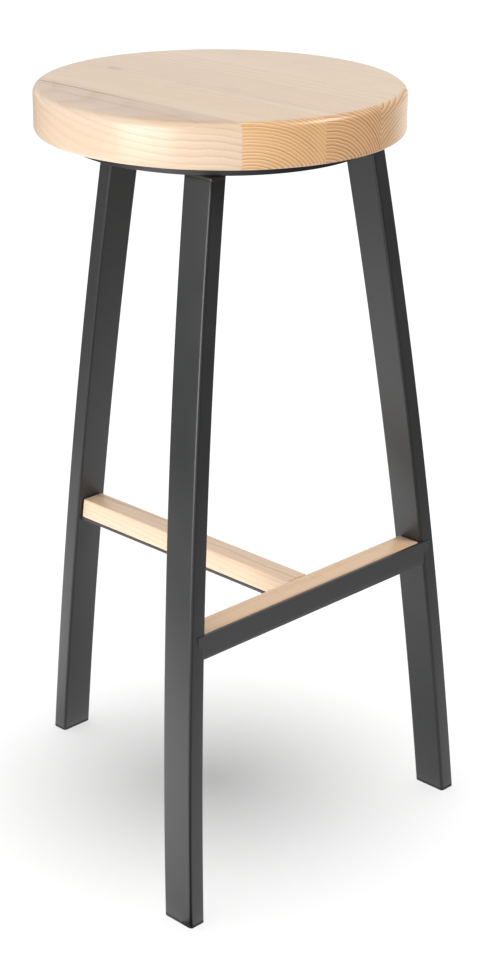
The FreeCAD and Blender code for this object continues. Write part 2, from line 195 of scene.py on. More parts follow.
def alongLeg(side, x, y, height):
    # Follows the arc through section point (x, y) to a level height: the angle solves
    # a cos(angle) + b sin(angle) = c, and the place is turned and moved into the stool's frame.
    rotation, middle, radius = legFrame(side)
    a = rotation[2, 0] * (radius + x)
    b = rotation[2, 2] * (radius + x)
    c = height - middle[2] + rotation[2, 0] * radius - rotation[2, 1] * y
    angle = np.arctan2(b, a) - np.arccos(c / np.hypot(a, b))
    local = np.stack([(radius + x) * np.cos(angle) - radius, y + 0 * angle,
                      (radius + x) * np.sin(angle)], axis=-1)
    inward = np.stack([-np.cos(angle), 0 * angle, -np.sin(angle)], axis=-1)
    return local @ rotation.T + middle, inward @ rotation.T


def legSkin(side, rows):
    # Rows are (height, inset, shrink): the tube's section, drawn in by inset or shrunk, carried up
    # the arc
    centres, directions = roundedOutline(legSizes["thin"], legSizes["wide"], legSizes["corner"],
                                         legSizes["cornerSteps"])
    height, inset, shrink = np.array(rows).T[:, :, None]
    x = (centres[:, 0] + (legSizes["corner"] - inset) * directions[:, 0]) * shrink
    y = (centres[:, 1] + (legSizes["corner"] - inset) * directions[:, 1]) * shrink
    return alongLeg(side, x, y, height + 0 * x)[0]


def endRows(low, high, ease, steps):
    # Rows from a low eased edge to a high one, with steps spans between the two
    rise = [(low + ease * (1 - math.sin(a)), ease * (1 - math.cos(a)), 1.0)
            for a in np.linspace(math.pi / 2, 0, 4)]
    body = [(height, 0.0, 1.0) for height in np.linspace(low + ease, high - ease, steps + 1)[1:-1]]
    fall = [(high - ease * (1 - math.sin(a)), ease * (1 - math.cos(a)), 1.0)
            for a in np.linspace(0, math.pi / 2, 4)]
    return rise + body + fall


def faceOf(side, height, gap):
    # A point on the leg's inner wide face, moved inwards by gap, and the face's normal
    return alongLeg(side, np.array(-legSizes["thin"] / 2 - gap), np.array(0.0), np.array(height))


def buildLegs(coat, plastic):
    ease, wall, pad = legSizes["ease"], legSizes["wall"], legSizes["pad"]
    bore = wall + legSizes["plugPlay"]
    padEase = legSizes["padEase"]
    plugTop = pad + legSizes["plug"]
    for side in legSizes["legs"]:
        outer = endRows(pad, tubeTop, ease, legSizes["rows"])
        inner = [(height, wall, 1.0) for height in np.linspace(tubeTop, pad, legSizes["boreRows"])]
        pieceFromGrids("tube_" + side, [(legSkin(side, outer + inner), True, True)],
                       coat, ["leg_" + side])
        cap = [(tubeTop, ease, 0.0)] + endRows(tubeTop, legTop, ease, legSizes["capRows"])
        cap += [(legTop, ease, 0.0)]
        pieceFromGrids("cap_" + side, [(legSkin(side, cap), False, True)],
                       coat, ["leg_cap_" + side])
        foot = [(0.0, padEase, 0.0)] + endRows(0.0, pad, padEase, legSizes["capRows"])
        foot += [(pad, bore, 1.0), (plugTop, bore, 1.0), (plugTop, bore, 0.0)]
        pieceFromGrids("glide_pad_" + side, [(legSkin(side, foot), False, True)],
                       plastic, ["glide_" + side])


seatSizes = {
    "across": 0.377,
    "roundTop": 0.008,
    "roundBottom": 0.005,
    "glueEase": 0.0002,
    "glueLines": (-0.118, -0.042, 0.034, 0.110),
    "outerSide": 0.17,           # x of an outer stave's far side, where its middle is worked out
    "flatRows": (0.0, 0.35, 0.7, 0.92),
    "glueSteps": 14,
}


def seatRows():
    # Height, rim inset and shrink of each row, from the middle of a stave's underside over the rim
    # to the middle of its top
    top, bottom, high = seatSizes["roundTop"], seatSizes["roundBottom"], stool["seatHeight"]
    rows = [(seatBottom, bottom, share) for share in seatSizes["flatRows"]]
    rows += [(seatBottom + bottom * (1 - math.sin(a)), bottom * (1 - math.cos(a)), 1.0)
             for a in np.linspace(math.pi / 2, 0, 9)]
    rows += [(high - top * (1 - math.sin(a)), top * (1 - math.cos(a)), 1.0)
             for a in np.linspace(0, math.pi / 2, 13)]
    return rows + [(high, top, share) for share in reversed(seatSizes["flatRows"])]


def staveSkin(low, high):
    # Outline of a disc of the rim's radius cut by upright planes at x = low and x = high, one per row;
    # the arcs are walked by angle and the glue faces by straight steps. Shrink pulls it to its centre.
    height, inset, shrink = np.array(seatRows()).T[:, :, None]
    radius = seatSizes["across"] / 2 - inset
    near = np.minimum(height - seatBottom, stool["seatHeight"] - height)
    ease = seatSizes["glueEase"] * np.clip(1 - near / seatSizes["glueEase"], 0, 1)
    walls = np.linspace(-1, 1, seatSizes["glueSteps"])[None, :]
    sides = []
    if high is not None:
        edge = high - ease
        reach = np.sqrt(radius ** 2 - edge ** 2)
        sides.append((edge + 0 * walls, reach * walls))
        first = np.arccos(edge / radius)
    else:
        first = 0 * radius
    last = np.arccos((low + ease) / radius) if low is not None else 0 * radius + math.pi
    # about one step to a degree of arc, counted on a row near the underside
    count = int(math.degrees((last - first)[5, 0])) + 2
    step = np.linspace(0, 1, count)[None, :]
    turn = first + (last - first) * step
    sides.append((radius * np.cos(turn), radius * np.sin(turn)))
    if low is not None:
        edge = low + ease
        reach = np.sqrt(radius ** 2 - edge ** 2)
        sides.append((edge + 0 * walls, -reach * walls))
    sides.append((radius * np.cos(turn[:, ::-1]), -radius * np.sin(turn[:, ::-1])))
    x = np.concatenate([side[0] for side in sides], axis=1)
    y = np.concatenate([side[1] for side in sides], axis=1)
    outer = seatSizes["outerSide"]
    middle = ((low if low is not None else -outer) + (high if high is not None else outer)) / 2
    x = middle + (x - middle) * shrink
    return np.stack([x, axisY + y * shrink, height + 0 * x], axis=-1)


def buildSeat(finishes):
    lines = (None,) + seatSizes["glueLines"] + (None,)
    return [pieceFromGrids("stave_%d" % number, [(staveSkin(low, high), False, True)],
                           finishes[number - 1], ["seat_stave_%d" % number])
            for number, (low, high) in enumerate(zip(lines, lines[1:]), start=1)]


treadSizes = {
    "thick": 0.023,
    "edge": 0.0015,
    "endEase": 0.0006,
    "gap": 0.0017,
    "frontDraw": 0.0007,         # the crossbar's tread is drawn back a little from the steel wall
    "cornerSteps": 6,
    "rows": 30,
}


def stripSkin(box, axis, start, end):
    # A rounded strip along an axis between two planes (point, normal): at each outline point
    # the plane gives the run, and the ends are eased and closed at their middles.
    low, high = box
    across = [1, 2] if axis == 0 else [0, 2]
    wide, deep = (high - low)[across]
    centres, directions = roundedOutline(wide, deep, treadSizes["edge"], treadSizes["cornerSteps"])
    ease = treadSizes["endEase"]
    bend = [(ease * (1 - math.sin(a)), ease * (1 - math.cos(a)), 1.0)
            for a in np.linspace(math.pi / 2, 0, 4)]
    head = [(0.0, ease, 0.0), (0.0, ease, 0.5)] + bend
    rows = [(0.0, run, inset, shrink) for run, inset, shrink in head]
    rows += [(share, 0.0, 0.0, 1.0) for share in np.linspace(0.03, 0.97, treadSizes["rows"])]
    rows += [(1.0, -run, inset, shrink) for run, inset, shrink in reversed(head)]
    share, run, inset, shrink = np.array(rows).T[:, :, None]
    flat = centres[None] + (treadSizes["edge"] - inset[..., None]) * directions[None]
    flat = flat * shrink[..., None] + ((low + high) / 2)[across]
    ends = []
    for point, normal in (start, end):
        off = (flat - point[across]) @ normal[across]
        ends.append(point[axis] - off / normal[axis])
    along = ends[0] + (ends[1] - ends[0]) * share + run
    grid = np.zeros(along.shape + (3,))
    grid[..., axis] = along
    grid[..., across[0]] = flat[..., 0]
    grid[..., across[1]] = flat[..., 1]
    return grid


def buildTreads(barFinish, stemFinish):
    gap = treadSizes["gap"]
    height = stool["footrestHeight"] - treadSizes["thick"] / 2
    barBox = np.array(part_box("crossbar_tread"))
    barBox[0][1] += treadSizes["frontDraw"]
    stemBox = np.array(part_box("stem_tread"))
    skin = stripSkin(barBox, 0, faceOf("left", height, gap), faceOf("right", height, gap))
    pieceFromGrids("bar_tread", [(skin, False, True)], barFinish, ["crossbar_tread"])
    front = (np.array([0, stemBox[0][1], height]), np.array([0.0, -1.0, 0.0]))
    skin = stripSkin(stemBox, 1, front, faceOf("rear", height, gap))
    pieceFromGrids("long_tread", [(skin, False, True)], stemFinish, ["stem_tread"])


beadSizes = {
    "ring": 0.005,
    "bar": 0.004,
    "ripple": 0.00022,
    "pitch": 0.0021,
    "taper": 0.9,                # length of a closed end, in radii
    "inset": 0.0002,
    "rows": 64,
    "around": 28,
}


def beadSkin(start, end, radius):
    # A round rod whose radius ripples along its length and closes to a point at each end
    start, end = Vector(start), Vector(end)
    along = (end - start).normalized()
    first = along.orthogonal().normalized()
    second = along.cross(first)
    length = (end - start).length
    steps = np.linspace(0, 1, beadSizes["rows"])[:, None]
    close = np.clip(np.minimum(steps, 1 - steps) * length / (radius * beadSizes["taper"]), 0, 1)
    ends = np.sqrt(np.clip(1 - (1 - close) ** 2, 0, 1))
    waves = np.abs(np.sin(math.pi * steps * length / beadSizes["pitch"]))
    size = ends * (radius - beadSizes["ripple"] * (1.3 - waves))
    turn = np.linspace(0, 2 * math.pi, beadSizes["around"], endpoint=False)[None, :]
    line = np.array(start) + steps[..., None] * np.array(end - start)
    return (line + (size * np.cos(turn))[..., None] * np.array(first)
            + (size * np.sin(turn))[..., None] * np.array(second))


def buildBeads(coat):
    inset, ring, bar = beadSizes["inset"], beadSizes["ring"], beadSizes["bar"]
    grids = []
    for turn, topOut, topSide, _, _, _ in legSizes["legs"].values():
        spin = Matrix.Rotation(math.radians(turn), 3, "Z")
        x = topOut - legSizes["thin"] / 2
        half = stool["ringWide"] / 2 - inset
        ends = [spin @ Vector((x, topSide + step * half, legTop)) + Vector((0, axisY, 0))
                for step in (-1, 1)]
        grids.append((beadSkin(ends[0], ends[1], ring), False, True))
    pieceFromGrids("ring_beads", grids, coat, ["ring_welds"])
    low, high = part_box("footrest_crossbar")
    grids = []
    for side in ("left", "right"):
        x = faceOf(side, low.z, 0.0)[0][0]
        grids.append((beadSkin((x, low.y + bar + inset, low.z), (x, high.y - inset, low.z), bar),
                      False, True))
    y = faceOf("rear", low.z, 0.0)[0][1]
    half = stool["stemWide"] / 2 - inset
    grids.append((beadSkin((-half, y, low.z), (half, y, low.z), bar), False, True))
    pieceFromGrids("footrest_beads", grids, coat, ["footrest_welds"])


def addNode(tree, kind, place, values=None, **settings):
    node = tree.nodes.new(kind)
    node.location = (place[0] * 200, place[1] * -160)
    for key, value in settings.items():
        setattr(node, key, value)
    for key, value in (values or {}).items():
        node.inputs[key].default_value = value
    return node


def wire(tree, *pairs):
    for source, target in pairs:
        tree.links.new(source, target)


def newGroup(name, inputs, outputs):
    # A shader node group with named sockets; inputs are name: (kind, default)
    tree = bpy.data.node_groups.new(name, "ShaderNodeTree")
    for title, (kind, default) in inputs.items():
        socket = tree.interface.new_socket(title, in_out="INPUT", socket_type="NodeSocket" + kind)
        if default is not None:
            socket.default_value = default
    for title, kind in outputs.items():
        tree.interface.new_socket(title, in_out="OUTPUT", socket_type="NodeSocket" + kind)
    start = addNode(tree, "NodeGroupInput", (-6, 0))
    end = addNode(tree, "NodeGroupOutput", (8, 0))
    return tree, start.outputs, end.inputs


def calculate(tree, operation, place, first, second=None):
    # A Math node whose inputs are sockets or numbers
    node = addNode(tree, "ShaderNodeMath", place, operation=operation)
    for index, value in enumerate((first, second)):
        if value is None:
            continue
        if isinstance(value, (int, float)):
            node.inputs[index].default_value = value
        else:
            tree.links.new(value, node.inputs[index])
    return node.outputs[0]


def vectorMath(tree, place, operation, first, second=None):
    # A Vector Math node whose inputs are sockets or triples
    node = addNode(tree, "ShaderNodeVectorMath", place, operation=operation)
    for index, value in enumerate((first, second)):
        if isinstance(value, tuple):
            node.inputs[index].default_value = value
        elif value is not None:
            tree.links.new(value, node.inputs[index])
    return node.outputs["Value" if operation in ("LENGTH", "DOT_PRODUCT") else "Vector"]


def noise(tree, place, vector, scale, detail=2.0, rough=0.5, stretch=None):
    # Noise texture, its space stretched per axis first when asked
    if stretch is not None:
        vector = vectorMath(tree, (place[0] - 1, place[1]), "MULTIPLY", vector, stretch)
    node = addNode(tree, "ShaderNodeTexNoise", place,
                   {"Scale": scale, "Detail": detail, "Roughness": rough})
    tree.links.new(vector, node.inputs["Vector"])
    return node


def remap(tree, place, value, low, high, toLow=0.0, toHigh=1.0, smooth=False):
    node = addNode(tree, "ShaderNodeMapRange", place,
                   {"From Min": low, "From Max": high, "To Min": toLow, "To Max": toHigh})
    node.interpolation_type = "SMOOTHSTEP" if smooth else "LINEAR"
    tree.links.new(value, node.inputs["Value"])
    return node.outputs["Result"]


def blendColour(tree, place, factor, first, second, mode="MIX"):
    # Mix of two colours; each is a socket or an RGB triple
    node = addNode(tree, "ShaderNodeMix", place, data_type="RGBA", blend_type=mode)
    for index, value in ((6, first), (7, second)):
        if isinstance(value, tuple):
            node.inputs[index].default_value = value + (1.0,)
        else:
            tree.links.new(value, node.inputs[index])
    if isinstance(factor, (int, float)):
        node.inputs[0].default_value = factor
    else:
        tree.links.new(factor, node.inputs[0])
    return node.outputs[2]


# Stretches are per metre along X, Y and Z; places in a ring run from 0 to 1
ashRings = {
    "bendStretch": (9, 2.2, 9),
    "fineStretch": (160, 14, 160),
    "fineWobble": 0.16,              # in ring pitches
    "shallowest": 0.35,              # depth of the palest ring
    "fade": (0.04, 0.50),            # early wood fades out here
    "rise": (0.93, 1.0),
    "lateLine": (0.66, 0.80),
    "poreStretch": (900, 26, 900),
    "poreReach": (0.55, 0.72),
    "poreLeast": 0.12,               # pores left between the rings
    "driftStretch": (14, 2.0, 14),
}


def ashGrainGroup():
    # Grain of ash in metres, long axis Y. Rings are cylinders about Y whose radius is bent by slow
    # noise; pores are short streaks gathered at the start of each ring; tone drifts slowly.
    tree, given, wanted = newGroup(
        "ashGrain",
        {"Vector": ("Vector", None), "Ring Pitch": ("Float", 0.004), "Bend": ("Float", 0.006)},
        {"Ring": "Float", "Line": "Float", "Pore": "Float", "Tone": "Float"})
    bendNoise = noise(tree, (-4, 2), given["Vector"], 1.0, 2.0, 0.45, ashRings["bendStretch"])
    bent = vectorMath(tree, (-3, 2), "SUBTRACT", bendNoise.outputs["Color"], (0.5, 0.5, 0.5))
    bent = vectorMath(tree, (-2, 2), "MULTIPLY", bent, given["Bend"])
    moved = vectorMath(tree, (-1, 2), "ADD", given["Vector"], bent)
    flat = vectorMath(tree, (0, 2), "MULTIPLY", moved, (1, 0, 1))
    radius = vectorMath(tree, (1, 2), "LENGTH", flat)
    fine = noise(tree, (-3, 0), given["Vector"], 1.0, 2.0, 0.5, ashRings["fineStretch"])
    wobble = remap(tree, (-2, 0), fine.outputs["Fac"], 0.0, 1.0, -ashRings["fineWobble"],
                   ashRings["fineWobble"])
    turns = calculate(tree, "DIVIDE", (2, 2), radius, given["Ring Pitch"])
    turns = calculate(tree, "ADD", (3, 2), turns, wobble)
    part = calculate(tree, "FRACT", (4, 2), turns)
    # early wood is dark at the start of a ring and fades, with a short rise before the next one;
    # each ring has its own depth, and a thin pale line of late wood ends it
    own = addNode(tree, "ShaderNodeTexWhiteNoise", (4, 4), noise_dimensions="1D")
    tree.links.new(calculate(tree, "FLOOR", (3, 4), turns), own.inputs["W"])
    depth = remap(tree, (5, 4), own.outputs["Value"], 0.0, 1.0, ashRings["shallowest"], 1.0)
    fade = remap(tree, (5, 2), part, *ashRings["fade"], 1.0, 0.0, True)
    rise = remap(tree, (5, 3), part, *ashRings["rise"], 0.0, 1.0, True)
    ring = calculate(tree, "MULTIPLY", (7, 2), calculate(tree, "MAXIMUM", (6, 2), fade, rise), depth)
    line = calculate(tree, "MULTIPLY", (7, 3),
                     remap(tree, (6, 3), part, *ashRings["lateLine"], 0.0, 1.0, True),
                     calculate(tree, "SUBTRACT", (6, 4), 1.0, rise))
    streak = noise(tree, (-1, -1), given["Vector"], 1.0, 2.0, 0.6, ashRings["poreStretch"])
    pores = remap(tree, (1, -1), streak.outputs["Fac"], *ashRings["poreReach"], 0.0, 1.0, True)
    gathered = remap(tree, (5, 0), ring, 0.25, 0.9, ashRings["poreLeast"], 1.0)
    pore = calculate(tree, "MULTIPLY", (6, 0), pores, gathered)
    drift = noise(tree, (-1, -3), given["Vector"], 1.0, 2.0, 0.5, ashRings["driftStretch"])
    tone = remap(tree, (1, -3), drift.outputs["Fac"], 0.3, 0.7)
    wire(tree, (ring, wanted["Ring"]), (line, wanted["Line"]), (pore, wanted["Pore"]),
         (tone, wanted["Tone"]))
    return tree


lineWander = {
    "stretch": (3, 9, 3),
    "reach": 0.006,
}


def grainLineGroup():
    # One dark grain line along Y: strongest at Line X, gone at Reach from it, and fading
    # from Full Y to Gone Y. Slow noise makes it wander.
    tree, given, wanted = newGroup(
        "grainLine",
        {"Vector": ("Vector", None), "Line X": ("Float", 0.0), "Reach": ("Float", 0.003),
         "Strength": ("Float", 0.4), "Full Y": ("Float", -0.1), "Gone Y": ("Float", 0.1)},
        {"Mark": "Float"})
    apart = addNode(tree, "ShaderNodeSeparateXYZ", (-4, 0))
    tree.links.new(given["Vector"], apart.inputs[0])
    wander = noise(tree, (-4, 2), given["Vector"], 1.0, 3.0, 0.55, lineWander["stretch"])
    shift = remap(tree, (-3, 2), wander.outputs["Fac"], 0.0, 1.0, -lineWander["reach"],
                  lineWander["reach"])
    x = calculate(tree, "ADD", (-2, 0), apart.outputs[0], shift)
    off = calculate(tree, "ABSOLUTE", (0, 0), calculate(tree, "SUBTRACT", (-1, 0), x, given["Line X"]))
    band = addNode(tree, "ShaderNodeMapRange", (1, 0), {"From Min": 0.0, "To Max": 0.0},
                   interpolation_type="SMOOTHSTEP")
    run = addNode(tree, "ShaderNodeMapRange", (1, 2), {"To Min": 1.0, "To Max": 0.0},
                  interpolation_type="SMOOTHSTEP")
    wire(tree, (off, band.inputs["Value"]), (given["Reach"], band.inputs["From Max"]),
         (given["Strength"], band.inputs["To Min"]), (apart.outputs[1], run.inputs["Value"]),
         (given["Full Y"], run.inputs["From Min"]), (given["Gone Y"], run.inputs["From Max"]))
    mark = calculate(tree, "MULTIPLY", (3, 0), band.outputs["Result"], run.outputs["Result"])
    tree.links.new(mark, wanted["Mark"])
    return tree


ashColours = {
    "pale": (0.78, 0.62, 0.455),
    "ringLine": (0.56, 0.36, 0.20),
    "poreLine": (0.40, 0.24, 0.12),
    "markLine": (0.42, 0.215, 0.11),
    "endWood": (0.78, 0.465, 0.22),
    "endRing": (0.34, 0.14, 0.055),
    "endLine": (0.98, 0.76, 0.50),
    "drift": (0.90, 0.86, 0.80),     # how far the slow tone goes down
    "driftShow": 0.5,
    "poreShow": 0.45,
    "topCalm": 0.4,                  # how much of the rings shows on a level face
    "calmReach": (0.70, 0.98),       # upright part of the normal over which they calm down
    "markReach": (0.60, 0.95),       # and over which the marks come in
    "endReach": (0.10, 0.55),        # how far the fibres point out where end grain starts and is full
    "endPatches": (0.55, 1.30),
    "endLineShow": 0.55,
    "endPoreShow": 0.5,
    "roughness": (0.36, 0.48),
}


def ashColourGroup():
    # Colour, roughness and pore height of varnished ash from its grain. Fibre is the way the fibres
    # run; where the surface cuts across them the end grain shows, deeper and warmer. Marks darken
    # the top only.
    tree, given, wanted = newGroup(
        "ashColour",
        {"Ring": ("Float", 0.0), "Line": ("Float", 0.0), "Pore": ("Float", 0.0), "Tone": ("Float", 0.0),
         "Marks": ("Float", 0.0), "Fibre": ("Vector", (0, 1, 0)), "Tint": ("Color", (1, 1, 1, 1)),
         "Ring Depth": ("Float", 0.3), "End Amount": ("Float", 0.8), "End Rings": ("Float", 0.75)},
        {"Colour": "Color", "Roughness": "Float", "Height": "Float"})
    normal = addNode(tree, "ShaderNodeNewGeometry", (-5, 4)).outputs["Normal"]
    parts = addNode(tree, "ShaderNodeSeparateXYZ", (-4, 5))
    tree.links.new(normal, parts.inputs[0])
    along = vectorMath(tree, (-4, 4), "DOT_PRODUCT", normal, given["Fibre"])
    across = calculate(tree, "ABSOLUTE", (-3, 4), along)
    across = remap(tree, (-2, 4), across, *ashColours["endReach"], 0.0, 1.0, True)
    across = calculate(tree, "MULTIPLY", (-1, 4), across, given["End Amount"])
    level = remap(tree, (-3, 6), parts.outputs[2], *ashColours["calmReach"], 1.0,
                  ashColours["topCalm"], True)
    onTop = remap(tree, (-3, 7), parts.outputs[2], *ashColours["markReach"], 0.0, 1.0, True)

    def tinted(place, colour):
        return blendColour(tree, place, 1.0, colour, given["Tint"], "MULTIPLY")

    base = tinted((-4, 0), ashColours["pale"])
    drifting = calculate(tree, "MULTIPLY", (-4, -1), given["Tone"], ashColours["driftShow"])
    drift = blendColour(tree, (-3, 0), drifting, base,
                        blendColour(tree, (-4, 1), 1.0, base, ashColours["drift"], "MULTIPLY"))
    calmed = calculate(tree, "MULTIPLY", (-4, 2), given["Ring"], level)
    shown = calculate(tree, "MULTIPLY", (-3, 1), calmed, given["Ring Depth"])
    long = blendColour(tree, (-2, 0), shown, drift, tinted((-3, -1), ashColours["ringLine"]))
    pores = calculate(tree, "MULTIPLY", (-2, -1), given["Pore"], ashColours["poreShow"])
    long = blendColour(tree, (-1, 0), pores, long, ashColours["poreLine"])
    marks = calculate(tree, "MULTIPLY", (-1, 7), given["Marks"], onTop)
    long = blendColour(tree, (0, 0), marks, long, ashColours["markLine"])
    # cut across, the rings stand out in some patches more than in others
    patch = remap(tree, (-3, 9), given["Tone"], 0.0, 1.0, *ashColours["endPatches"])
    patch = calculate(tree, "MULTIPLY", (-2, 9), patch, given["End Rings"])
    rings = calculate(tree, "MULTIPLY", (-1, 9), given["Ring"], patch)
    end = blendColour(tree, (-1, 2), rings, tinted((-2, 2), ashColours["endWood"]),
                      ashColours["endRing"])
    lines = calculate(tree, "MULTIPLY", (-1, 3), given["Line"], ashColours["endLineShow"])
    end = blendColour(tree, (0, 2), lines, end, ashColours["endLine"])
    pores = calculate(tree, "MULTIPLY", (0, 3), given["Pore"], ashColours["endPoreShow"])
    end = blendColour(tree, (1, 2), pores, end, ashColours["endRing"])
    roughness = remap(tree, (3, 2), given["Ring"], 0.0, 1.0, *ashColours["roughness"])
    wire(tree, (blendColour(tree, (3, 0), across, long, end), wanted["Colour"]),
         (roughness, wanted["Roughness"]),
         (calculate(tree, "MULTIPLY", (3, 4), given["Pore"], -1.0), wanted["Height"]))
    return tree


def knotMask(tree, seen, knot):
    # A small knot, full at its middle and fading outwards, twice as long along Y as it is wide
    off = vectorMath(tree, (-8, 8), "SUBTRACT", seen, knot["middle"])
    pressed = vectorMath(tree, (-7, 8), "MULTIPLY", off, (1, 0.5, 1))
    distance = vectorMath(tree, (-6, 8), "LENGTH", pressed)
    return remap(tree, (-5, 8), distance, *knot["reach"], knot["strength"], 0.0, True)


def newMaterial(name):
    material = bpy.data.materials.new(name)
    material.use_nodes = True
    return material, material.node_tree, material.node_tree.nodes["Principled BSDF"]


varnish = {
    "ior": 1.5,
    "coat": 0.30,
    "coatRough": 0.20,
    "bump": 0.25,
    "bumpDepth": 0.00012,
    "endRings": 0.75,                # how strong the rings are on cut ends
    "quietRings": 0.09,              # and where they have died out
    "streakStretch": (500, 22, 500),
    "streakReach": (0.48, 0.75),
    "streakShow": 0.18,
}


def ashFinish(name, groups, wood):
    # Varnished ash from a dictionary of its own grain
    material, tree, shader = newMaterial(name)
    shader.inputs["IOR"].default_value = varnish["ior"]
    shader.inputs["Coat Weight"].default_value = varnish["coat"]
    shader.inputs["Coat Roughness"].default_value = varnish["coatRough"]
    seen = addNode(tree, "ShaderNodeTexCoord", (-9, 0)).outputs["Object"]
    mapping = addNode(tree, "ShaderNodeMapping", (-8, 0), vector_type="TEXTURE")
    mapping.inputs["Location"].default_value = wood["centre"]
    mapping.inputs["Rotation"].default_value = tuple(math.radians(angle) for angle in wood["turn"])
    grain = addNode(tree, "ShaderNodeGroup", (-7, 0))
    grain.node_tree = groups["grain"]
    grain.inputs["Ring Pitch"].default_value = wood["pitch"]
    grain.inputs["Bend"].default_value = wood["bend"]
    colour = addNode(tree, "ShaderNodeGroup", (-3, 0))
    colour.node_tree = groups["colour"]
    colour.inputs["Fibre"].default_value = wood.get("fibre", (0, 1, 0))
    colour.inputs["Tint"].default_value = wood["tint"] + (1.0,)
    colour.inputs["Ring Depth"].default_value = wood["rings"]
    colour.inputs["End Amount"].default_value = wood["ends"]
    colour.inputs["End Rings"].default_value = wood.get("endRings", varnish["endRings"])
    wire(tree, (seen, mapping.inputs["Vector"]), (mapping.outputs[0], grain.inputs["Vector"]),
         *((grain.outputs[key], colour.inputs[key]) for key in ("Ring", "Line", "Pore", "Tone")))
    # faint broken streaks, then the wood's own grain lines and its knot
    broken = noise(tree, (-8, 4), seen, 1.0, 2.0, 0.6, varnish["streakStretch"])
    marks = remap(tree, (-7, 4), broken.outputs["Fac"], *varnish["streakReach"], 0.0,
                  varnish["streakShow"])
    for row, values in enumerate(wood.get("lines", ())):
        line = addNode(tree, "ShaderNodeGroup", (-7, 5 + row))
        line.node_tree = groups["line"]
        for key, value in zip(("Line X", "Reach", "Strength", "Full Y", "Gone Y"), values):
            line.inputs[key].default_value = value
        tree.links.new(seen, line.inputs["Vector"])
        marks = calculate(tree, "MAXIMUM", (-5, 4 + row), marks, line.outputs["Mark"])
    if "knot" in wood:
        marks = calculate(tree, "MAXIMUM", (-4, 8), marks, knotMask(tree, seen, wood["knot"]))
    tree.links.new(marks, colour.inputs["Marks"])
    if "quiet" in wood:
        # the end rings die out between two places along X
        where = addNode(tree, "ShaderNodeSeparateXYZ", (-8, 10))
        tree.links.new(seen, where.inputs[0])
        dying = remap(tree, (-6, 10), where.outputs[0], *wood["quiet"], varnish["endRings"],
                      varnish["quietRings"], True)
        tree.links.new(dying, colour.inputs["End Rings"])
    bump = addNode(tree, "ShaderNodeBump", (-2, -4),
                   {"Strength": varnish["bump"], "Distance": varnish["bumpDepth"]})
    wire(tree, (colour.outputs["Colour"], shader.inputs["Base Color"]),
         (colour.outputs["Roughness"], shader.inputs["Roughness"]),
         (colour.outputs["Height"], bump.inputs["Height"]), (bump.outputs[0], shader.inputs["Normal"]))
    return material


# Scales of the coats' texture, per metre, and how it shows
coatTexture = {
    "peel": 210.0,
    "cloud": 9.0,
    "gritShare": 0.6,                # height of the grit beside the peel's
    "speckReach": (0.62, 0.72),
    "speckShow": 0.35,
    "speckLift": 1.6,                # specks are this much lighter than the light tone
    # painted shade on upright corners: where it starts and is full, and the share of the dark tone it
    # leaves
    "cornerReach": (0.15, 0.45),
    "paintedCornerTone": 0.15,              # share of the dark tone left on corners
    "bump": 0.35,
    "ior": 1.5,
}


def coatGrainGroup():
    # Orange-peel and fine grit of a powder coat, with slow cloudiness
    tree, given, wanted = newGroup("coatGrain", {"Vector": ("Vector", None), "Grit": ("Float", 700.0)},
                                   {"Height": "Float", "Cloud": "Float", "Speck": "Float"})
    grit = noise(tree, (-2, 0), given["Vector"], 1.0, 3.0, 0.6)
    tree.links.new(given["Grit"], grit.inputs["Scale"])
    peel = noise(tree, (-2, 2), given["Vector"], coatTexture["peel"], 1.0, 0.5)
    cloud = noise(tree, (-2, 4), given["Vector"], coatTexture["cloud"], 3.0, 0.55)
    low = calculate(tree, "MULTIPLY", (-1, 0), grit.outputs["Fac"], coatTexture["gritShare"])
    height = calculate(tree, "ADD", (0, 0), low, peel.outputs["Fac"])
    speck = remap(tree, (0, 2), grit.outputs["Fac"], *coatTexture["speckReach"], 0.0, 1.0, True)
    wire(tree, (height, wanted["Height"]), (speck, wanted["Speck"]),
         (remap(tree, (0, 4), cloud.outputs["Fac"], 0.3, 0.7), wanted["Cloud"]))
    return tree


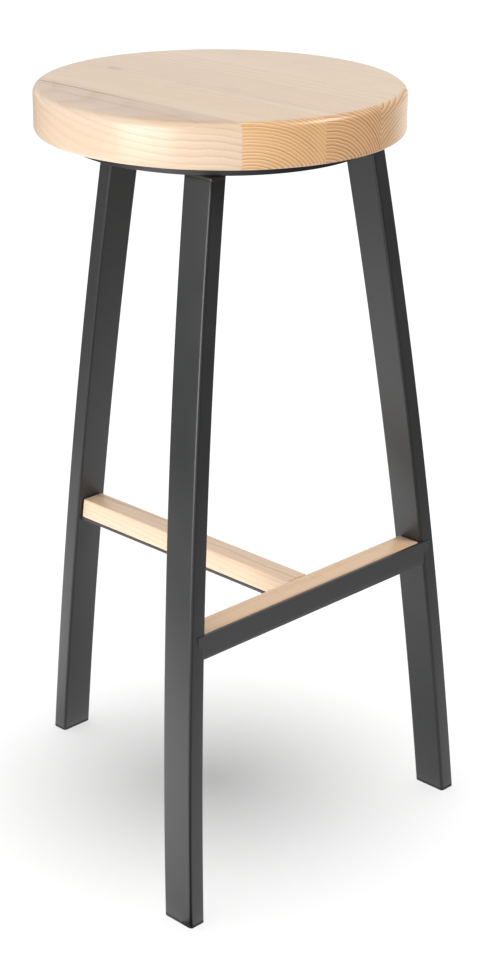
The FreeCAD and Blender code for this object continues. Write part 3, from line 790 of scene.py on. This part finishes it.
def coatedFinish(name, grain, coat):
    # A coated or plain hard finish that clouds from its dark tone to its light one
    material, tree, shader = newMaterial(name)
    shader.inputs["Metallic"].default_value = coat.get("metallic", 0.0)
    shader.inputs["IOR"].default_value = coatTexture["ior"]
    place = addNode(tree, "ShaderNodeTexCoord", (-5, 0))
    group = addNode(tree, "ShaderNodeGroup", (-4, 0))
    group.node_tree = grain
    group.inputs["Grit"].default_value = coat["grit"]
    tree.links.new(place.outputs["Object"], group.inputs["Vector"])
    out = group.outputs
    colour = blendColour(tree, (-3, 0), out["Cloud"], coat["dark"], coat["light"])
    specks = calculate(tree, "MULTIPLY", (-3, 1), out["Speck"], coatTexture["speckShow"])
    colour = blendColour(tree, (-2, 0), specks, colour,
                         tuple(min(1.0, value * coatTexture["speckLift"]) for value in coat["light"]))
    if "paintedCornerShade" in coat:
        # painted shade: upright rounded corners, whose normals point between X and Y, are coloured
        # darker
        around = addNode(tree, "ShaderNodeNewGeometry", (-6, 4))
        parts = addNode(tree, "ShaderNodeSeparateXYZ", (-5, 4))
        tree.links.new(around.outputs["Normal"], parts.inputs[0])
        both = calculate(tree, "MULTIPLY", (-4, 4), parts.outputs[0], parts.outputs[1])
        turned = remap(tree, (-2, 4), calculate(tree, "ABSOLUTE", (-3, 4), both),
                       *coatTexture["cornerReach"], 0.0, coat["paintedCornerShade"], True)
        colour = blendColour(tree, (-1, 2), turned, colour,
                             tuple(value * coatTexture["paintedCornerTone"] for value in coat["dark"]))
    smoothest, roughest = coat["rough"] - 0.03, coat["rough"] + 0.04
    roughness = remap(tree, (-2, -2), out["Cloud"], 0.0, 1.0, smoothest, roughest)
    bump = addNode(tree, "ShaderNodeBump", (-2, -4),
                   {"Strength": coatTexture["bump"], "Distance": coat["bumpDepth"]})
    wire(tree, (colour, shader.inputs["Base Color"]), (roughness, shader.inputs["Roughness"]),
         (out["Height"], bump.inputs["Height"]), (bump.outputs[0], shader.inputs["Normal"]))
    return material


ashGroups = {"grain": ashGrainGroup(), "line": grainLineGroup(), "colour": ashColourGroup()}
coatGrain = coatGrainGroup()

# Each wooden piece's own grain: middle of its rings, ring pitch, how far they bend, tilt in degrees,
# tint, ring depth, how much its cut ends show, and its dark lines along Y
# (x, reach, strength, y where full, y where gone). Some also have stronger end rings, a stretch of x
# where they die out, a knot, or fibres that don't run along Y.
staveWoods = [
    {"centre": (-0.120, axisY, 0.560), "pitch": 0.0068, "bend": 0.036, "turn": (7, 0, 3),
     "tint": (1.0, 0.99, 1.01), "rings": 0.25, "ends": 0.18,
     "lines": ((-0.1225, 0.0042, 1.0, 0.02, -0.14), (-0.130, 0.006, 0.60, 0.15, -0.20),
               (-0.146, 0.007, 0.60, 0.00, 0.14), (-0.150, 0.080, 0.50, -0.30, 0.60))},
    {"centre": (-0.108, axisY, 0.738), "pitch": 0.0031, "bend": 0.009, "turn": (0, 0, -1),
     "tint": (0.99, 0.93, 0.86), "rings": 0.26, "ends": 0.95, "quiet": (-0.060, -0.048),
     "lines": ((-0.114, 0.004, 0.22, 0.10, -0.15), (-0.086, 0.003, 0.16, -0.20, 0.15))},
    {"centre": (-0.044, axisY, 0.742), "pitch": 0.0033, "bend": 0.008, "turn": (0, 0, 1),
     "tint": (0.97, 0.91, 0.88), "rings": 0.26, "ends": 1.0, "endRings": 1.0,
     "lines": ((-0.024, 0.0022, 0.38, -0.21, 0.16), (-0.0185, 0.0016, 0.22, -0.21, 0.12)),
     "knot": {"middle": (-0.027, axisY + 0.128, 0.820), "reach": (0.002, 0.008), "strength": 0.45}},
    {"centre": (0.100, axisY, 0.690), "pitch": 0.0044, "bend": 0.010, "turn": (0, 0, -1),
     "tint": (0.99, 0.96, 0.92), "rings": 0.26, "ends": 0.85,
     "lines": ((0.082, 0.002, 0.25, -0.18, 0.10),)},
    {"centre": (0.060, axisY, 0.640), "pitch": 0.0050, "bend": 0.012, "turn": (0, 0, 1),
     "tint": (0.99, 0.97, 0.94), "rings": 0.26, "ends": 0.7,
     "lines": ((0.130, 0.003, 0.20, -0.18, 0.10),)},
]
treadWoods = {
    "bar": {"centre": (0, -0.17, 0.26), "pitch": 0.004, "bend": 0.010, "turn": (0, 0, 90),
            "tint": (1.06, 0.93, 0.80), "rings": 0.30, "ends": 0.8, "fibre": (1, 0, 0)},
    "stem": {"centre": (0.02, 0, 0.27), "pitch": 0.004, "bend": 0.012, "turn": (0, 0, 2),
             "tint": (1.04, 0.97, 0.93), "rings": 0.34, "ends": 0.8,
             "lines": ((0.0085, 0.0025, 0.55, 0.20, -0.20), (-0.001, 0.0025, 0.40, -0.10, 0.16),
                       (-0.0095, 0.0015, 0.35, 0.16, -0.05))},
}
coats = {
    # the dark coat gets painted shade on its upright corners
    "darkPowderCoat": {"dark": (0.027, 0.0275, 0.028), "light": (0.034, 0.0345, 0.035), "rough": 0.33,
                       "bumpDepth": 0.00006, "grit": 700.0, "paintedCornerShade": 0.8},
    # painted shade: the seat ring's coat is a darker, rougher copy of the powder coat, for the ring in
    # the seat's shade
    "ringPowderCoatPaintedShade": {"dark": (0.010, 0.010, 0.0105), "light": (0.014, 0.014, 0.0145), "rough": 0.50,
                       "bumpDepth": 0.00006, "grit": 700.0},
    "blackGlidePlastic": {"dark": (0.010, 0.010, 0.011), "light": (0.014, 0.014, 0.015), "rough": 0.55,
                          "bumpDepth": 0.00003, "grit": 700.0},
    "zincScrewSteel": {"dark": (0.42, 0.42, 0.43), "light": (0.52, 0.52, 0.53), "rough": 0.30,
                       "bumpDepth": 0.00002, "grit": 700.0, "metallic": 1.0},
}
staveFinishes = [ashFinish("ashStave%d" % number, ashGroups, wood)
                 for number, wood in enumerate(staveWoods, start=1)]
barAsh = ashFinish("ashBarTread", ashGroups, treadWoods["bar"])
stemAsh = ashFinish("ashLongTread", ashGroups, treadWoods["stem"])
darkCoat, ringCoatPaintedShade, blackPlastic, zincSteel = (coatedFinish(name, coatGrain, coat)
                                               for name, coat in coats.items())
print("materials ready:", len(bpy.data.materials))

buildLegs(darkCoat, blackPlastic)
print("legs built")
stavePieces = buildSeat(staveFinishes)
print("seat built")
buildTreads(barAsh, stemAsh)
print("treads built")
buildBeads(darkCoat)

# node, finish and bevel of each steel piece that keeps its CAD shape
steelPieces = {
    # the ring plate takes the darker coat copy, which is painted shade
    "ring_plate": ("seat_ring", ringCoatPaintedShade, 0.0007),
    "bar_angle": ("footrest_crossbar", darkCoat, 0.0004),
    "stem_flat": ("footrest_stem", darkCoat, 0.0006),
}
for name, (node, finish, ease) in steelPieces.items():
    easedCopy(name, node, finish, ease)
for name in ("seat_screws", "crossbar_screws", "stem_screws"):
    easedCopy(name + "_turned", name, zincSteel, 0.0)
print("steel and fastenings built")


stage = {
    "floorHalf": 15.0,
    "paperTone": 0.50,           # how the floor takes light and shadow
    "paperGlow": 0.25,
    # from here to behindReach: the painted light and shade the floor glows with for the stool
    "brightSide": (-0.70, 0.71, 0.0),
    "sideReach": (-0.6, 0.6),
    "nearTone": (0.95, 2.10),    # what the stool sees of the floor close by, dim side and bright side
    "nearReach": (0.40, 1.60),
    "farTone": 0.20,
    "shadeReach": (0.08, 0.42),  # and the stool's own shade in the middle
    "shadeDepth": 0.6,
    "frontSide": (-0.69, -0.72, 0.0),
    "frontFrom": (-0.20, -0.19, 0.0),
    "frontWidth": (0.80, 0.97),  # how squarely a place lies to that side, from none to all
    "frontTone": (0.04, 1.90),   # dim close by and bright far off
    "frontReach": (0.90, 1.45),
    "behindSide": (0.92, 0.39, 0.0),
    "behindWidth": (0.80, 0.96),
    "behindTone": 1.1,
    "behindReach": (1.0, 1.6),
    "roomSide": (0.0, 0.94, 0.34),
    "roomReach": (-0.6, 0.9),
    "roomLevel": (0.08, 0.90),   # dim side and bright side of the room
    "sunHeight": 3.0,
    "cameraAzimuth": -45.841,
    "cameraElevation": 21.848,
    "cameraRoll": 0.512,
    "cameraFar": 2.348365,
    "cameraTarget": (0.0239, -0.02461, 0.37996),
    "lens": 80.0,
    "sensor": 36,
    "clipEnd": 100,
}


def towards(tree, row, vector, side, width):
    # How squarely a direction on the floor points to a side, from 0 to 1 over width
    heading = vectorMath(tree, (-7, row), "NORMALIZE", vector)
    square = vectorMath(tree, (-6, row), "DOT_PRODUCT", heading, side)
    return remap(tree, (-5, row), square, *width, 0.0, 1.0, True)


def mixTones(tree, row, first, second, share):
    # share of the first tone and what is left of the second
    rest = calculate(tree, "SUBTRACT", (-5, row + 1), 1.0, share)
    return calculate(tree, "ADD", (-3, row), calculate(tree, "MULTIPLY", (-4, row), first, share),
                     calculate(tree, "MULTIPLY", (-4, row + 1), second, rest))


def paintedFloorLight(tree):
    # Painted light and shade that the floor gives off as glow to the stool: a near tone with a dim and
    # a bright side and a far tone, a painted shadow of the stool in the middle, then a sector in front
    # that is dim close by and a bright one behind
    place = addNode(tree, "ShaderNodeTexCoord", (-8, 4)).outputs["Object"]
    side = vectorMath(tree, (-7, 4), "DOT_PRODUCT", place, stage["brightSide"])
    distance = vectorMath(tree, (-7, 6), "LENGTH", place)
    fromFoot = vectorMath(tree, (-8, 9), "SUBTRACT", place, stage["frontFrom"])
    close = remap(tree, (-6, 6), distance, *stage["nearReach"], 1.0, 0.0, True)
    turned = remap(tree, (-6, 4), side, *stage["sideReach"], 0.0, 1.0, True)
    nearTone = remap(tree, (-5, 4), turned, 0.0, 1.0, *stage["nearTone"])
    tone = mixTones(tree, 4, nearTone, stage["farTone"], close)
    shade = remap(tree, (-4, 7), distance, *stage["shadeReach"], 1.0 - stage["shadeDepth"], 1.0, True)
    tone = calculate(tree, "MULTIPLY", (-3, 6), tone, shade)
    facing = towards(tree, 9, fromFoot, stage["frontSide"], stage["frontWidth"])
    frontTone = remap(tree, (-5, 12), distance, *stage["frontReach"], *stage["frontTone"], True)
    tone = mixTones(tree, 9, frontTone, tone, facing)
    behind = towards(tree, 13, place, stage["behindSide"], stage["behindWidth"])
    outside = remap(tree, (-5, 14), distance, *stage["behindReach"], 0.0, stage["behindTone"], True)
    return calculate(tree, "ADD", (-2, 9), tone,
                     calculate(tree, "MULTIPLY", (-4, 13), behind, outside))


def buildFloor():
    # To the camera the floor is white paper that takes the stool's shadow. To the stool it glows with
    # painted light and shade: the tones of paper under studio lamps.
    half = stage["floorHalf"]
    mesh = bpy.data.meshes.new("floor")
    mesh.from_pydata([(-half, -half, 0), (half, -half, 0), (half, half, 0), (-half, half, 0)], [],
                     [(0, 1, 2, 3)])
    floor = bpy.data.objects.new("floor", mesh)
    bpy.context.scene.collection.objects.link(floor)
    paper, tree, shader = newMaterial("palePaper")
    shader.inputs["Base Color"].default_value = (stage["paperTone"],) * 3 + (1,)
    shader.inputs["Roughness"].default_value = 1.0
    shader.inputs["Specular IOR Level"].default_value = 0.0
    shader.inputs["Emission Color"].default_value = (1, 1, 1, 1)
    shader.inputs["Emission Strength"].default_value = stage["paperGlow"]
    # the glow of painted light and shade, seen by every ray but the camera's
    seen = addNode(tree, "ShaderNodeEmission", (-1, 4))
    ray = addNode(tree, "ShaderNodeLightPath", (-1, 7))
    chosen = addNode(tree, "ShaderNodeMixShader", (0, 4))
    output = tree.nodes["Material Output"]
    wire(tree, (paintedFloorLight(tree), seen.inputs["Strength"]),
         (ray.outputs["Is Camera Ray"], chosen.inputs[0]), (seen.outputs[0], chosen.inputs[1]),
         (shader.outputs[0], chosen.inputs[2]), (chosen.outputs[0], output.inputs["Surface"]))
    mesh.materials.append(paper)
    return floor


def buildRoom():
    # A pale room, brighter towards one side and above, and plain white to the camera
    world = bpy.data.worlds.new("paleRoom")
    world.use_nodes = True
    tree = world.node_tree
    backdrop = tree.nodes["Background"]
    backdrop.inputs["Color"].default_value = (1, 1, 1, 1)
    place = addNode(tree, "ShaderNodeTexCoord", (-6, 0))
    side = vectorMath(tree, (-5, 0), "DOT_PRODUCT", place.outputs["Generated"], stage["roomSide"])
    level = remap(tree, (-4, 0), side, *stage["roomReach"], *stage["roomLevel"], True)
    ray = addNode(tree, "ShaderNodeLightPath", (-4, 2))
    level = calculate(tree, "MAXIMUM", (-3, 0), level, ray.outputs["Is Camera Ray"])
    tree.links.new(level, backdrop.inputs["Strength"])
    bpy.context.scene.world = world


softSuns = {
    # x and y from the seat's axis, angle in degrees, strength
    "overheadSun": (0.0, 0.0, 40, 0.20),
    "paperSun": (-0.08, -0.14, 26, 3.7),
}
softBoxes = {
    # place, target, size, power
    "edgeBox": ((-1.5, -1.1, 2.7), (0, 0, 0.80), (0.8, 0.8), 4),
    "keyBox": ((-2.6, -0.1, 0.40), (0, 0, 0.35), (1.6, 1.6), 61),
    "fillBox": ((1.3, -2.3, 2.9), (0, 0, 0.40), (1.5, 1.2), 63),
}


def softBox(name):
    place, target, size, power = softBoxes[name]
    light = bpy.data.lights.new(name, "AREA")
    light.shape = "RECTANGLE"
    light.size, light.size_y = size
    light.energy = power
    return aim(name, light, place, target)


def softSun(name):
    x, y, angle, strength = softSuns[name]
    light = bpy.data.lights.new(name, "SUN")
    light.angle = math.radians(angle)
    light.energy = strength
    return aim(name, light, (x, axisY + y, stage["sunHeight"]), (0, axisY, 0))


def aim(name, light, place, target):
    lamp = bpy.data.objects.new(name, light)
    lamp.location = place
    lamp.rotation_euler = (Vector(target) - Vector(place)).to_track_quat("-Z", "Y").to_euler()
    bpy.context.scene.collection.objects.link(lamp)
    return lamp


def buildCamera():
    # back points from the target to the camera; its azimuth turns from -Y towards +X, and the camera
    # rolls about it
    azimuth, elevation, roll = (math.radians(stage[key])
                                for key in ("cameraAzimuth", "cameraElevation", "cameraRoll"))
    back = Vector((math.sin(azimuth) * math.cos(elevation), -math.cos(azimuth) * math.cos(elevation),
                   math.sin(elevation)))
    right = Vector((0, 0, 1)).cross(back).normalized()
    up = back.cross(right)
    across = right * math.cos(roll) + up * math.sin(roll)
    above = up * math.cos(roll) - right * math.sin(roll)
    data = bpy.data.cameras.new("camera")
    data.lens = stage["lens"]
    data.sensor_width = stage["sensor"]
    data.clip_end = stage["clipEnd"]
    camera = bpy.data.objects.new("camera", data)
    target = Vector(stage["cameraTarget"]) + Vector((0, axisY, 0))
    turned = Matrix((across, above, back)).transposed().to_4x4()
    camera.matrix_world = Matrix.Translation(target + back * stage["cameraFar"]) @ turned
    bpy.context.scene.collection.objects.link(camera)
    bpy.context.scene.camera = camera


floor = buildFloor()
stoolLamps = [softSun("overheadSun")] + [softBox(name) for name in softBoxes]
paperLamp = softSun("paperSun")
# the stool's lamps pass the paper by; the paper has its own, which only the seat shades
stagePaper, notPaper, seatOnly = (bpy.data.collections.new(name)
                                  for name in ("stagePaper", "notPaper", "seatOnly"))
for piece in stavePieces:
    seatOnly.objects.link(piece)
for linked in (stagePaper, notPaper):
    linked.objects.link(floor)
notPaper.collection_objects[0].light_linking.link_state = "EXCLUDE"
paperLamp.light_linking.receiver_collection = stagePaper
paperLamp.light_linking.blocker_collection = seatOnly
for lamp in stoolLamps:
    lamp.light_linking.receiver_collection = notPaper
buildRoom()
bpy.context.scene.view_settings.view_transform = "Standard"
buildCamera()
print("stage ready")
